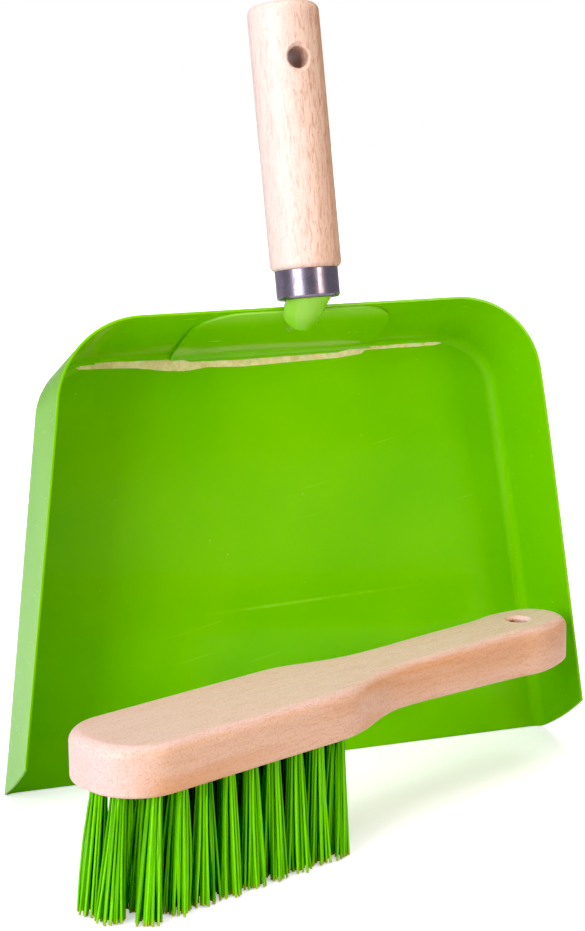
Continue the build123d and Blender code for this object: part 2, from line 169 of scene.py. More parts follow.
class ShaderBench:
    """A material's node tree, with short ways to add nodes and join them."""

    def __init__(self, name: str) -> None:
        """Start a material with a Principled shader wired to its output.

        Args:
            name: The material's name.
        """
        self.material = bpy.data.materials.new(name)
        self.material.use_nodes = True
        self.tree = self.material.node_tree
        self.tree.nodes.clear()
        self.output = self.add("ShaderNodeOutputMaterial")
        self.skin = self.add("ShaderNodeBsdfPrincipled")
        self.tree.links.new(self.skin.outputs["BSDF"], self.output.inputs["Surface"])

    def add(self, kind: str) -> bpy.types.Node:
        """Add one node of the named kind."""
        return self.tree.nodes.new(kind)

    def feed(self, node: bpy.types.Node, name: str | int, value: object) -> None:
        """Set a socket's own value, or wire another node's output into it.

        Args:
            node: The node that has the socket.
            name: The socket's name or number.
            value: A plain value, or the output socket to wire in.
        """
        if isinstance(value, Socket):
            self.tree.links.new(value, node.inputs[name])
        else:
            node.inputs[name].default_value = value

    def set_skin(self, **values: object) -> None:
        """Set the Principled shader's sockets, with _ for a space in a name."""
        for name, value in values.items():
            self.feed(self.skin, name.replace("_", " "), value)

    def along(self, centre: Vector, grain: Vector, stretch: float) -> Socket:
        """Give coordinates whose first axis runs along a direction.

        Args:
            centre: The point, in metres, where the coordinates are zero.
            grain: The direction of the first axis.
            stretch: How many times longer a pattern is along that axis.

        Returns:
            The coordinates, in metres across the direction.
        """
        place = self.add("ShaderNodeMapping")
        place.vector_type = "TEXTURE"
        place.inputs["Location"].default_value = centre
        place.inputs["Rotation"].default_value = grain.to_track_quat("X", "Z").to_euler()
        place.inputs["Scale"].default_value = (stretch, 1.0, 1.0)
        self.feed(place, "Vector", self.plain_place())
        return place.outputs["Vector"]

    def plain_place(self) -> Socket:
        """Give the object's own coordinates, in metres."""
        return self.add("ShaderNodeTexCoord").outputs["Object"]

    def plain_part(self, axis: str) -> Socket:
        """Give one of the object's own coordinates, named X, Y or Z."""
        return self.part_of(self.plain_place(), axis)

    def facing(self, axis: str) -> Socket:
        """Give how far the surface faces along an axis, from -1 to 1."""
        return self.part_of(self.add("ShaderNodeNewGeometry").outputs["Normal"], axis)

    def part_of(self, place: Socket, axis: str) -> Socket:
        """Give one coordinate of three, named X, Y or Z."""
        node = self.add("ShaderNodeSeparateXYZ")
        self.feed(node, "Vector", place)
        return node.outputs[axis]

    def noise(self, place: Socket, cloud: Cloud) -> Socket:
        """Give a cloudy pattern.

        Args:
            place: The coordinates it follows.
            cloud: The make of the pattern.

        Returns:
            The pattern, from 0 to 1 around 0.5.
        """
        node = self.add("ShaderNodeTexNoise")
        self.feed(node, "Vector", place)
        self.feed(node, "Scale", 1.0 / cloud.size)
        self.feed(node, "Detail", cloud.detail)
        self.feed(node, "Roughness", cloud.rough)
        self.feed(node, "Distortion", cloud.warp)
        return node.outputs[0]

    def clouds(self, place: Socket, cloud: Cloud, ramp: Ramp) -> Socket:
        """Give a cloudy pattern stretched over a range."""
        return self.spread(self.noise(place, cloud), ramp)

    def cells(self, place: Socket, size: float) -> bpy.types.Node:
        """Add a pattern of scattered cells.

        Args:
            place: The coordinates it follows.
            size: The width of one cell, in metres.

        Returns:
            The node, whose Distance and Color outputs describe each cell.
        """
        node = self.add("ShaderNodeTexVoronoi")
        self.feed(node, "Vector", place)
        self.feed(node, "Scale", 1.0 / size)
        return node

    def spread(self, value: Socket, ramp: Ramp) -> Socket:
        """Stretch a range of values over another range and hold it there.

        Args:
            value: The values to stretch.
            ramp: The two ranges.

        Returns:
            The stretched values.
        """
        node = self.add("ShaderNodeMapRange")
        self.feed(node, "Value", value)
        self.feed(node, "From Min", ramp.low)
        self.feed(node, "From Max", ramp.high)
        self.feed(node, "To Min", ramp.to_low)
        self.feed(node, "To Max", ramp.to_high)
        return node.outputs["Result"]

    def reckon(self, how: str, first: object, second: object) -> Socket:
        """Do one sum on two values.

        Args:
            how: The Math node's name for the sum.
            first: A number or an output socket.
            second: A number or an output socket.

        Returns:
            The answer.
        """
        node = self.add("ShaderNodeMath")
        node.operation = how
        self.feed(node, 0, first)
        self.feed(node, 1, second)
        return node.outputs["Value"]

    def times(self, first: object, second: object) -> Socket:
        """Multiply two values, each a number or an output socket."""
        return self.reckon("MULTIPLY", first, second)

    def coat_over(self, under: object, over: object, cover: object) -> Socket:
        """Lay one colour over another.

        Args:
            under: The colour below.
            over: The colour on top.
            cover: How much of it shows, from 0 to 1.

        Returns:
            The mixed colour.
        """
        node = self.add("ShaderNodeMix")
        node.data_type = "RGBA"
        self.feed(node, MIX_COVER, cover)
        self.feed(node, MIX_UNDER, under)
        self.feed(node, MIX_OVER, over)
        return node.outputs[MIX_RESULT]

    def relief(self, height: Socket, cut: Relief, under: Socket | None = None) -> Socket:
        """Turn a height pattern into surface relief.

        Args:
            height: The pattern.
            cut: Its depth and strength.
            under: The relief that it lies on, if any.

        Returns:
            The surface normal.
        """
        node = self.add("ShaderNodeBump")
        self.feed(node, "Height", height)
        self.feed(node, "Distance", cut.depth)
        self.feed(node, "Strength", cut.strength)
        if under is not None:
            self.feed(node, "Normal", under)
        return node.outputs["Normal"]

    def creases(self, reach: float, cover: Ramp) -> Socket:
        """Find the tight corners, where shade is painted in.

        Args:
            reach: How far out of a corner they come, in metres.
            cover: How much shows for how open the place is.

        Returns:
            A mask that is highest deep in a corner.
        """
        node = self.add("ShaderNodeAmbientOcclusion")
        node.samples = CORNER_SAMPLES
        self.feed(node, "Distance", reach)
        return self.spread(node.outputs["AO"], cover)

    def soft_edges(self, radius: float) -> tuple[Socket, Socket]:
        """Round a part's hard edges and find where they are.

        Args:
            radius: The radius of the rounding, in metres.

        Returns:
            The rounded normal, and a mask that is 1 on the edges.
        """
        bevel = self.add("ShaderNodeBevel")
        bevel.samples = CORNER_SAMPLES
        self.feed(bevel, "Radius", radius)
        flat = self.add("ShaderNodeNewGeometry").outputs["Normal"]
        compare = self.add("ShaderNodeVectorMath")
        compare.operation = "DOT_PRODUCT"
        self.feed(compare, 0, bevel.outputs["Normal"])
        self.feed(compare, 1, flat)
        return bevel.outputs["Normal"], self.spread(compare.outputs["Value"], EDGE_TURN)


@dataclass(frozen=True)
class Scratch:
    """A long faint scratch across the front of the pan's floor, in metres."""

    left: float = -0.030
    right: float = 0.060
    height: float = 0.0589
    rise: float = 0.037
    fade: float = 0.02
    width: Ramp = Ramp(0.0009, 0.0001)
    wear: Cloud = Cloud(0.008, detail=3.0)
    wear_cover: Ramp = Ramp(0.35, 0.6, 0.05, 0.28)
    front: Ramp = Ramp(-0.8, -0.9)

    def mark(self, bench: ShaderBench) -> Socket:
        """Draw the scratch.

        Args:
            bench: The material being mixed.

        Returns:
            How much of it shows, from 0 to 1.
        """
        across = bench.plain_part("X")
        line = bench.reckon("ADD", bench.times(across, self.rise), self.height)
        off = bench.reckon("SUBTRACT", bench.plain_part("Z"), line)
        off = bench.reckon("ABSOLUTE", off, 0.0)
        wear = bench.clouds(bench.plain_place(), self.wear, self.wear_cover)
        mark = bench.times(bench.spread(off, self.width), wear)
        mark = bench.times(mark, bench.spread(across, Ramp(self.left, self.left + self.fade)))
        mark = bench.times(mark, bench.spread(across, Ramp(self.right, self.right - self.fade)))
        return bench.times(mark, bench.spread(bench.facing("Y"), self.front))


@dataclass(frozen=True)
class EnamelFinish:
    """Glossy green enamel sprayed on steel sheet."""

    name: str = "green_enamel_gloss"
    ground: Colour = paint(119, 198, 0)
    deep: Colour = paint(104, 188, 0)
    thin: Colour = paint(158, 218, 50)
    scratch_and_highlight: Colour = paint(172, 228, 96)
    dust: Colour = paint(176, 206, 90)
    crease_shade: Colour = paint(20, 84, 10)
    chip: Colour = paint(226, 240, 200)
    edge_round: float = 0.0004
    edge_highlight_cover: float = 0.75
    drift: Cloud = Cloud(0.07, detail=3.0)
    drift_cover: Ramp = Ramp(0.42, 0.68)
    mottle: Cloud = Cloud(0.009, detail=4.0, rough=0.6)
    mottle_cover: Ramp = Ramp(0.55, 0.85, to_high=0.06)
    nib_cell: float = 0.006
    nib_chosen: Ramp = Ramp(0.80, 0.82)
    nib_edge: Ramp = Ramp(0.09, 0.04)
    nib_cover: float = 0.45
    nib_relief: Relief = Relief(0.00012, 0.5)
    crease_shade_reach: float = 0.004
    crease_shade_cover: Ramp = Ramp(0.55, 0.15, to_high=0.55)
    scuff_run: Vector = Vector((1.0, 0.0, 0.2))
    scuff_stretch: float = 34.0
    scuff: Cloud = Cloud(0.0022, rough=0.6)
    scuff_chosen: Ramp = Ramp(0.70, 0.80)
    scuff_cover: float = 0.45
    scuff_dulling: float = 0.15
    chip_cell: float = 0.03
    chip_chosen: Ramp = Ramp(0.70, 0.71)
    chip_edge: Ramp = Ramp(0.014, 0.010)
    peel: Cloud = Cloud(0.0026)
    peel_relief: Relief = Relief(0.00003, 0.35)
    smear: Cloud = Cloud(0.03, detail=3.0)
    gloss: Ramp = Ramp(0.35, 0.7, 0.23, 0.26)
    depth_of_shine: float = 1.24
    lacquer: float = 0.25
    lacquer_gloss: float = 0.06
    lacquer_depth: float = 1.4
    highlight_above: Ramp | None = None
    scratch: Scratch | None = None

    def mix(self) -> bpy.types.Material:
        """Mix the enamel: drifts of colour, orange peel, dust, edges painted paler as a highlight
        and partly as thin enamel, an optional painted highlight towards the top, and painted
        shade in creases.
        """
        bench = ShaderBench(self.name)
        place = bench.plain_place()
        normal, edge = bench.soft_edges(self.edge_round)
        drift = bench.clouds(place, self.drift, self.drift_cover)
        colour = bench.coat_over(self.ground, self.deep, drift)
        mottle = bench.clouds(place, self.mottle, self.mottle_cover)
        colour = bench.coat_over(colour, self.thin, mottle)
        # painted highlight: the enamel is painted paler above a height, on the bracket's neck;
        # the same pale colour also marks the scratch
        if self.highlight_above is not None:
            pale = bench.spread(bench.plain_part("Z"), self.highlight_above)
            colour = bench.coat_over(colour, self.scratch_and_highlight, pale)
        if self.scratch is not None:
            colour = bench.coat_over(colour, self.scratch_and_highlight, self.scratch.mark(bench))
        nibs = bench.cells(place, self.nib_cell)
        chosen = bench.spread(bench.part_of(nibs.outputs["Color"], "X"), self.nib_chosen)
        nib = bench.times(bench.spread(nibs.outputs["Distance"], self.nib_edge), chosen)
        colour = bench.coat_over(colour, self.dust, bench.times(nib, self.nib_cover))
        # painted highlight: hard edges are painted paler, partly as thin enamel there
        colour = bench.coat_over(colour, self.thin, bench.times(edge, self.edge_highlight_cover))
        # painted shade: the enamel is darkened to deep green in tight corners and creases
        crease_shade = bench.creases(self.crease_shade_reach, self.crease_shade_cover)
        colour = bench.coat_over(colour, self.crease_shade, crease_shade)
        run = bench.along(Vector(), self.scuff_run, self.scuff_stretch)
        scuff = bench.clouds(run, self.scuff, self.scuff_chosen)
        colour = bench.coat_over(colour, self.thin, bench.times(scuff, self.scuff_cover))
        chips = bench.cells(place, self.chip_cell)
        chosen = bench.spread(bench.part_of(chips.outputs["Color"], "Y"), self.chip_chosen)
        small = bench.spread(chips.outputs["Distance"], self.chip_edge)
        colour = bench.coat_over(colour, self.chip, bench.times(small, chosen))
        normal = bench.relief(bench.noise(place, self.peel), self.peel_relief, normal)
        normal = bench.relief(nib, self.nib_relief, normal)
        rough = bench.clouds(place, self.smear, self.gloss)
        rough = bench.reckon("ADD", rough, bench.times(scuff, self.scuff_dulling))
        bench.set_skin(Base_Color=colour, Roughness=rough, Normal=normal)
        bench.set_skin(IOR=self.depth_of_shine, Coat_Weight=self.lacquer)
        bench.set_skin(Coat_Roughness=self.lacquer_gloss, Coat_IOR=self.lacquer_depth)
        return bench.material


@dataclass(frozen=True)
class Bore:
    """A hanging hole, brown and torn inside, with painted shade on its left half, in metres."""

    centre: Vector
    axis: Vector
    radius: float
    bore_shade_brown: Colour = paint(138, 72, 34)
    torn: Cloud = Cloud(0.0012)
    tear: float = 0.3 * MM
    tear_cover: Ramp = Ramp(0.3, 0.7, -0.3 * MM, 0.3 * MM)
    left_half_shade: Ramp = Ramp(0.002, -0.001, 0.25, 0.9)

    def darken_bore(self, bench: ShaderBench, colour: Socket) -> Socket:
        """Darken the wood inside the bore, most on its left half as painted shade.

        Args:
            bench: The material being mixed.
            colour: The wood's colour so far.

        Returns:
            The colour with the brown bore in it.
        """
        bore = bench.along(self.centre, self.axis, 1.0)
        across = bench.reckon("POWER", bench.part_of(bore, "Y"), 2.0)
        up = bench.reckon("POWER", bench.part_of(bore, "Z"), 2.0)
        away = bench.reckon("SQRT", bench.reckon("ADD", across, up), 0.0)
        ragged = bench.clouds(bench.plain_place(), self.torn, self.tear_cover)
        away = bench.reckon("ADD", away, ragged)
        inside = bench.spread(away, Ramp(self.radius + self.tear, self.radius))
        # painted shade: the brown deepens over the bore's left half, away from the light
        side = bench.reckon("SUBTRACT", bench.plain_part("X"), self.centre.x)
        brown = bench.times(inside, bench.spread(side, self.left_half_shade))
        return bench.coat_over(colour, self.bore_shade_brown, brown)


@dataclass(frozen=True)
class WoodFinish:
    """Pale turned or sawn hardwood under a thin satin lacquer."""

    name: str
    pale: Colour
    warm: Colour
    pore: Colour
    grain: Vector
    centre: Vector
    bore: Bore
    edge_round: float = 0.0003
    edge_highlight_cover: float = 0.35
    board_stretch: float = 14.0
    band: Cloud = Cloud(0.007, warp=0.6)
    band_cover: Ramp = Ramp(0.36, 0.66)
    streak_stretch: float = 26.0
    streak: Cloud = Cloud(0.0007, detail=3.0, rough=0.6)
    streak_cover: Ramp = Ramp(0.5, 0.78, to_high=0.5)
    satin: Ramp = Ramp(0.3, 0.75, 0.42, 0.58)
    pore_stretch: float = 7.0
    pores: Cloud = Cloud(0.00035, detail=1.0, rough=0.4, warp=0.2)
    pore_chosen: Ramp = Ramp(0.64, 0.76)
    pore_patch: Cloud = Cloud(0.011, detail=1.0)
    patch_cover: Ramp = Ramp(0.38, 0.62, to_low=0.25)
    pore_cover: float = 0.45
    pore_relief: Relief = Relief(0.0001, 0.4)
    wrinkle: Cloud = Cloud(0.0009, detail=3.0, rough=0.6, warp=1.2)
    wrinkle_stretch: float = 7.0
    wrinkle_relief: Relief = Relief(0.00022, 0.8)
    wrinkle_chosen: Ramp = Ramp(0.50, 0.36)
    wrinkle_cover: float = 0.75
    side_shade_reach: float = 0.009
    lit_side_share: float = 0.3
    left_sheen_and_tone: Colour | None = None
    left_sheen_cover: float = 0.95
    top_light_and_tone: Colour | None = None
    top_light_cover: Ramp = Ramp(0.5, 0.95, to_high=0.7)
    end_light_and_tone: Colour | None = None
    end_light_cover: Ramp = Ramp(0.2, -0.8, to_high=0.85)
    fleck: Cloud = Cloud(0.00045, rough=0.7)
    fleck_cover: Ramp = Ramp(0.5, 0.72, to_high=0.22)
    fleck_relief: Relief = Relief(0.00005, 0.3)
    depth_of_shine: float = 1.45
    lacquer: float = 0.4
    lacquer_gloss: float = 0.38

    def mix(self) -> bpy.types.Material:
        """Mix the wood: growth bands, fine streaks, pores, a brown bore with painted shade, and
        painted light on edges, faces and one side.
        """
        bench = ShaderBench(self.name)
        normal, edge = bench.soft_edges(self.edge_round)
        board = bench.along(self.centre, self.grain, self.board_stretch)
        bands = bench.clouds(board, self.band, self.band_cover)
        colour = bench.coat_over(self.pale, self.warm, bands)
        fine = bench.along(self.centre, self.grain, self.streak_stretch)
        streaks = bench.noise(fine, self.streak)
        colour = bench.coat_over(colour, self.warm, bench.spread(streaks, self.streak_cover))
        # painted light: upward faces and left-facing end faces are painted paler, partly the
        # wood's own paler tone
        if self.top_light_and_tone is not None:
            top_light_mask = bench.spread(bench.facing("Z"), self.top_light_cover)
            colour = bench.coat_over(colour, self.top_light_and_tone, top_light_mask)
        if self.end_light_and_tone is not None:
            end_light_mask = bench.spread(bench.facing("X"), self.end_light_cover)
            colour = bench.coat_over(colour, self.end_light_and_tone, end_light_mask)
        short = bench.along(self.centre, self.grain, self.pore_stretch)
        pore = bench.clouds(short, self.pores, self.pore_chosen)
        patch = bench.clouds(board, self.pore_patch, self.patch_cover)
        pore = bench.times(pore, patch)
        colour = bench.coat_over(colour, self.pore, bench.times(pore, self.pore_cover))
        # painted highlight: hard edges are painted in the pale wood colour
        colour = bench.coat_over(colour, self.pale, bench.times(edge, self.edge_highlight_cover))
        colour = self.bore.darken_bore(bench, colour)
        wavy = bench.along(self.centre, self.grain, self.wrinkle_stretch)
        wrinkles = bench.noise(wavy, self.wrinkle)
        normal = bench.relief(wrinkles, self.wrinkle_relief, normal)
        # painted light: a left-to-right ramp, lowest on the lit left side and full on the shaded
        # right side
        left, right = self.centre.x - self.side_shade_reach, self.centre.x + self.side_shade_reach
        shaded_side = bench.spread(bench.plain_part("X"), Ramp(left, right, to_low=self.lit_side_share))
        # painted sheen: the lit left side is painted paler, partly the wood's own paler tone
        if self.left_sheen_and_tone is not None:
            left_sheen_mask = bench.spread(shaded_side, Ramp(1.0, self.lit_side_share, to_high=self.left_sheen_cover))
            colour = bench.coat_over(colour, self.left_sheen_and_tone, left_sheen_mask)
        # painted shade: the wrinkle furrows are painted darker on the shaded right side
        furrow_and_shade = bench.times(bench.spread(wrinkles, self.wrinkle_chosen), shaded_side)
        colour = bench.coat_over(colour, self.pore, bench.times(furrow_and_shade, self.wrinkle_cover))
        normal = bench.relief(bench.reckon("SUBTRACT", 1.0, pore), self.pore_relief, normal)
        fuzz = bench.noise(bench.plain_place(), self.fleck)
        colour = bench.coat_over(colour, self.pore, bench.spread(fuzz, self.fleck_cover))
        normal = bench.relief(fuzz, self.fleck_relief, normal)
        rough = bench.spread(streaks, self.satin)
        bench.set_skin(Base_Color=colour, Roughness=rough, Normal=normal)
        bench.set_skin(IOR=self.depth_of_shine, Coat_Weight=self.lacquer)
        bench.set_skin(Coat_Roughness=self.lacquer_gloss)
        return bench.material


@dataclass(frozen=True)
class SteelFinish:
    """Polished plated steel with faint turning lines."""

    axis: Vector
    centre: Vector
    name: str = "polished_ferrule_steel"
    metal: Colour = paint(152, 144, 164)
    dull: Colour = paint(104, 94, 110)
    edge_round: float = 0.0004
    ring_stretch: float = 0.02
    ring: Cloud = Cloud(0.02, detail=3.0, rough=0.7)
    ring_relief: Relief = Relief(0.00001, 0.25)
    smear: Cloud = Cloud(0.004, detail=3.0)
    dull_cover: Ramp = Ramp(0.52, 0.8, to_high=0.6)
    polish: Ramp = Ramp(0.35, 0.75, 0.24, 0.34)

    def mix(self) -> bpy.types.Material:
        """Mix the steel: turning lines round the axis and a few dull smears."""
        bench = ShaderBench(self.name)
        normal, _ = bench.soft_edges(self.edge_round)
        lines = bench.noise(bench.along(self.centre, self.axis, self.ring_stretch), self.ring)
        smears = bench.noise(bench.plain_place(), self.smear)
        colour = bench.coat_over(self.metal, self.dull, bench.spread(smears, self.dull_cover))
        rough = bench.spread(smears, self.polish)
        normal = bench.relief(lines, self.ring_relief, normal)
        bench.set_skin(Base_Color=colour, Metallic=1.0, Roughness=rough, Normal=normal)
        return bench.material


@dataclass(frozen=True)
class FilamentFinish:
    """Extruded green plastic filament, each strand its own tone, with painted shade on the inner
    ones.
    """

    name: str = "green_filament_plastic"
    fresh: Colour = paint(128, 226, 18)
    deep: Colour = paint(10, 124, 0)
    gap_shade: Colour = paint(2, 92, 2)
    cut: Colour = paint(172, 178, 60)
    upright: Vector = Vector((0.0, 0.0, 1.0))
    draw_stretch: float = 30.0
    draw: Cloud = Cloud(0.0003)
    draw_cover: Ramp = Ramp(0.5, 0.8, to_high=0.35)
    draw_relief: Relief = Relief(0.00002, 0.3)
    gloss: Ramp = Ramp(0.3, 0.7, 0.24, 0.4)
    gap_shade_reach: float = 0.006
    gap_shade_cover: Ramp = Ramp(0.22, 0.04, to_high=0.85)
    root_rise: Ramp = Ramp(0.016, 0.040)
    root_cover: float = 0.9
    cut_cover: Ramp = Ramp(0.0022, 0.0006, to_high=0.75)
    depth_of_shine: float = 1.3

    def mix(self) -> bpy.types.Material:
        """Mix the plastic: a tone for each strand, drawing lines on it, and painted shade in the
        gaps, at the roots and on the inner tufts.
        """
        bench = ShaderBench(self.name)
        shade = bench.add("ShaderNodeAttribute")
        shade.attribute_name = STRAND_SHADE
        # the strand_shade attribute is each strand's random tone plus painted shade for the inner
        # tufts
        colour = bench.coat_over(self.fresh, self.deep, shade.outputs["Fac"])
        draw = bench.noise(bench.along(Vector(), self.upright, self.draw_stretch), self.draw)
        colour = bench.coat_over(colour, self.deep, bench.spread(draw, self.draw_cover))
        # painted shade: the gaps between strands deep in the tufts are painted dark green
        gap_shade_mask = bench.creases(self.gap_shade_reach, self.gap_shade_cover)
        colour = bench.coat_over(colour, self.gap_shade, gap_shade_mask)
        height = bench.plain_part("Z")
        # painted shade: strands are darkened towards the block, more on the darker strands
        root_shade = bench.times(bench.spread(height, self.root_rise), shade.outputs["Fac"])
        colour = bench.coat_over(colour, self.gap_shade, bench.times(root_shade, self.root_cover))
        colour = bench.coat_over(colour, self.cut, bench.spread(height, self.cut_cover))
        rough = bench.spread(draw, self.gloss)
        normal = bench.relief(draw, self.draw_relief)
        bench.set_skin(Base_Color=colour, Roughness=rough, Normal=normal)
        bench.set_skin(IOR=self.depth_of_shine)
        return bench.material


@dataclass(frozen=True)
class CreamStripFinish:
    """A cream strip, chalky and uneven, with green drifted on it."""

    name: str = "cream_strip_finish"
    cream: Colour = paint(236, 226, 168)
    tan: Colour = paint(206, 190, 120)
    spray: Colour = paint(150, 200, 60)
    stain: Cloud = Cloud(0.005, detail=4.0, rough=0.7)
    stain_cover: Ramp = Ramp(0.42, 0.7)
    drift: Cloud = Cloud(0.0016, detail=3.0, rough=0.7)
    drift_cover: Ramp = Ramp(0.5, 0.8, to_high=0.6)
    chalk: Cloud = Cloud(0.0005)
    chalk_relief: Relief = Relief(0.0001, 0.6)
    dullness: Ramp = Ramp(0.3, 0.7, 0.6, 0.85)

    def mix(self) -> bpy.types.Material:
        """Mix the strip: chalky grains, tan patches and a little green drift."""
        bench = ShaderBench(self.name)
        place = bench.plain_place()
        stain = bench.clouds(place, self.stain, self.stain_cover)
        colour = bench.coat_over(self.cream, self.tan, stain)
        drift = bench.clouds(place, self.drift, self.drift_cover)
        colour = bench.coat_over(colour, self.spray, drift)
        grains = bench.noise(place, self.chalk)
        normal = bench.relief(grains, self.chalk_relief)
        rough = bench.spread(grains, self.dullness)
        bench.set_skin(Base_Color=colour, Roughness=rough, Normal=normal)
        return bench.material


@dataclass(frozen=True)
class WireFinish:
    """Flat drawn wire that staples the tufts into their holes."""

    name: str = "anchor_wire_bright"
    metal: Colour = paint(176, 172, 165)
    dull: Colour = paint(120, 112, 100)
    patch: Cloud = Cloud(0.0012, detail=3.0)
    dull_cover: Ramp = Ramp(0.4, 0.7)
    polish: Ramp = Ramp(0.3, 0.7, 0.25, 0.45)
    patch_relief: Relief = Relief(0.00002, 0.3)

    def mix(self) -> bpy.types.Material:
        """Mix the wire: bright metal with dull patches."""
        bench = ShaderBench(self.name)
        patches = bench.noise(bench.plain_place(), self.patch)
        colour = bench.coat_over(self.metal, self.dull, bench.spread(patches, self.dull_cover))
        rough = bench.spread(patches, self.polish)
        normal = bench.relief(patches, self.patch_relief)
        bench.set_skin(Base_Color=colour, Metallic=1.0, Roughness=rough, Normal=normal)
        return bench.material


def dress(node: str, finish: bpy.types.Material) -> None:
    """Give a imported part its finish.

    Args:
        node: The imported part's name.
        finish: The material for all of its slots.
    """
    shape = frame["nodes"][node]
    for holder in shape.material_slots:
        holder.material = finish
    log.info("%s: dressed in %s", node, finish.name)


def hand_over(shape: Shape, body: Body, finish: bpy.types.Material) -> None:
    """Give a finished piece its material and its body.

    Args:
        shape: The finished piece.
        body: The body that it rides on.
        finish: Its material.
    """
    shape.data.materials.clear()
    shape.data.materials.append(finish)
    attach(shape, body.value)
    log.info("%s: rides on %s, %d faces", shape.name, body.value, len(shape.data.polygons))


def hang_hole(name: str) -> Bore:
    """Look a hanging hole up in the record.

    Args:
        name: The mount's name.

    Returns:
        The hole, with its finish.
    """
    for mount in frame["record"]["mounts"]:
        if mount["name"] == name:
            radius = mount["dims"]["r_mm"] * MM
            return Bore(Vector(mount["pos_m"]), Vector(mount["axis"]), radius)
    raise LookupError(f"the record has no mount named {name}")


@dataclass
class PanSheetwork:
    """The bent tray and the bracket plate, with a cream strip along the fold."""

    middle: Vector = Vector((1.2, 64.45, 0.0)) * MM
    lean: float = math.radians(3.5)
    skin: float = 1.7 * MM
    highlight_below_rim: float = 8.0 * MM
    highlight_fade: float = 6.0 * MM
    highlight_cover: float = 0.6
    strip_thick: float = 0.15 * MM
    strip_start: float = 0.4
    strip_cuts: int = 3
    strip_stray: float = 0.12 * MM
    strip_lift: float = 0.02 * MM
    strip_seed: int = 4
    strip_stations: tuple[tuple[float, float, float], ...] = (
        (-73.5, 151.8, 153.4), (-72.0, 151.2, 153.9), (-60.0, 150.8, 153.9),
        (-51.0, 150.3, 153.8), (-44.0, 149.2, 153.7), (-38.5, 148.5, 153.5),
        (-34.5, 148.2, 152.6), (-31.0, 148.3, 151.4), (-24.0, 149.1, 151.2),
        (-11.0, 148.4, 151.0), (9.0, 148.9, 151.2), (26.0, 149.3, 151.3),
        (31.5, 149.8, 152.4), (35.0, 150.2, 153.2), (37.0, 151.5, 153.0),
        (47.0, 151.7, 152.9), (58.0, 151.6, 153.3), (65.0, 151.7, 153.0),
        (67.5, 152.2, 152.7),
    )

    def at(self, across: float, up: float, off: float) -> Vector:
        """Place a point on the pan's floor.

        Args:
            across: Millimetres to the right of the pan's middle.
            up: Millimetres up the floor from the lip.
            off: Metres off the middle plane of the floor, towards the brush.

        Returns:
            The point, in metres.
        """
        up_floor = Vector((0.0, math.sin(self.lean), math.cos(self.lean)))
        inwards = Vector((0.0, -math.cos(self.lean), math.sin(self.lean)))
        return self.middle + Vector((across * MM, 0.0, 0.0)) + up_floor * up * MM + inwards * off

    def lay_cream_strip(self) -> Shape:
        """Lay the cream strip along the fold, bent to the sheet."""
        left, low, high = self.strip_stations[0]
        deselect_all()
        bpy.ops.mesh.primitive_plane_add(size=2 * MM, location=self.at(left, low, self.skin))
        strip = bpy.context.active_object
        strip.name = strip.data.name = "cream_strip"
        bpy.ops.object.transform_apply(location=True, rotation=True, scale=True)
        corners = strip.data.vertices
        right = left + self.strip_start
        for corner, across, up in zip(corners, (left, right) * 2, (low, low, high, high)):
            corner.co = self.at(across, up, self.skin)
        edit()
        bpy.ops.mesh.select_mode(type="EDGE")
        bpy.ops.mesh.select_all(action="DESELECT")
        leave_edit()
        half_way = self.at((left + right) / 2, low, self.skin).x
        for edge in strip.data.edges:
            edge.select = all(corners[i].co.x > half_way for i in edge.vertices)
        edit()
        before = (right, low, high)
        for station in self.strip_stations[1:]:
            self.draw_on(before, station)
            before = station
        bpy.ops.mesh.select_all(action="SELECT")
        bpy.ops.mesh.subdivide(number_cuts=self.strip_cuts, smoothness=0.0, fractal=0.0)
        bpy.ops.transform.vertex_random(
            offset=self.strip_stray, uniform=0.0, normal=0.0, seed=self.strip_seed
        )
        leave_edit()
        self.press_on(strip)
        return strip

    def draw_on(self, before: tuple[float, float, float], to: tuple[float, float, float]) -> None:
        """Draw the strip's open end on to its next station.

        Args:
            before: The station the end is at: across, low and high edge.
            to: The station it goes to.
        """
        start = self.at(before[0], (before[1] + before[2]) / 2, self.skin)
        end = self.at(to[0], (to[1] + to[2]) / 2, self.skin)
        bpy.ops.mesh.extrude_region_move(
            TRANSFORM_OT_translate={"value": end - start, "orient_type": "GLOBAL"}
        )
        width = (to[2] - to[1]) / (before[2] - before[1])
        bpy.ops.transform.resize(
            value=(1.0, width, width), center_override=end, orient_type="GLOBAL"
        )

    def press_on(self, strip: Shape) -> None:
        """Press the flat strip onto the tray and give it its thickness.

        Args:
            strip: The flat strip just off the sheet.
        """
        take_up(strip)
        wrap = strip.modifiers.new("press", "SHRINKWRAP")
        wrap.target = frame["nodes"]["pan_tray"]
        wrap.wrap_method = "NEAREST_SURFACEPOINT"
        wrap.wrap_mode = "ABOVE_SURFACE"
        wrap.offset = self.strip_lift
        bpy.ops.object.modifier_apply(modifier=wrap.name)
        wall = strip.modifiers.new("thick", "SOLIDIFY")
        wall.thickness = self.strip_thick
        wall.offset = 0.0
        bpy.ops.object.modifier_apply(modifier=wall.name)
        edit()
        bpy.ops.mesh.select_all(action="SELECT")
        bpy.ops.mesh.normals_make_consistent(inside=False)
        leave_edit()
        bpy.ops.object.shade_smooth_by_angle(angle=SMOOTH_BELOW)

    def build(self) -> None:
        """Dress the tray and the bracket, and lay the cream strip."""
        dress("pan_tray", EnamelFinish(scratch=Scratch()).mix())
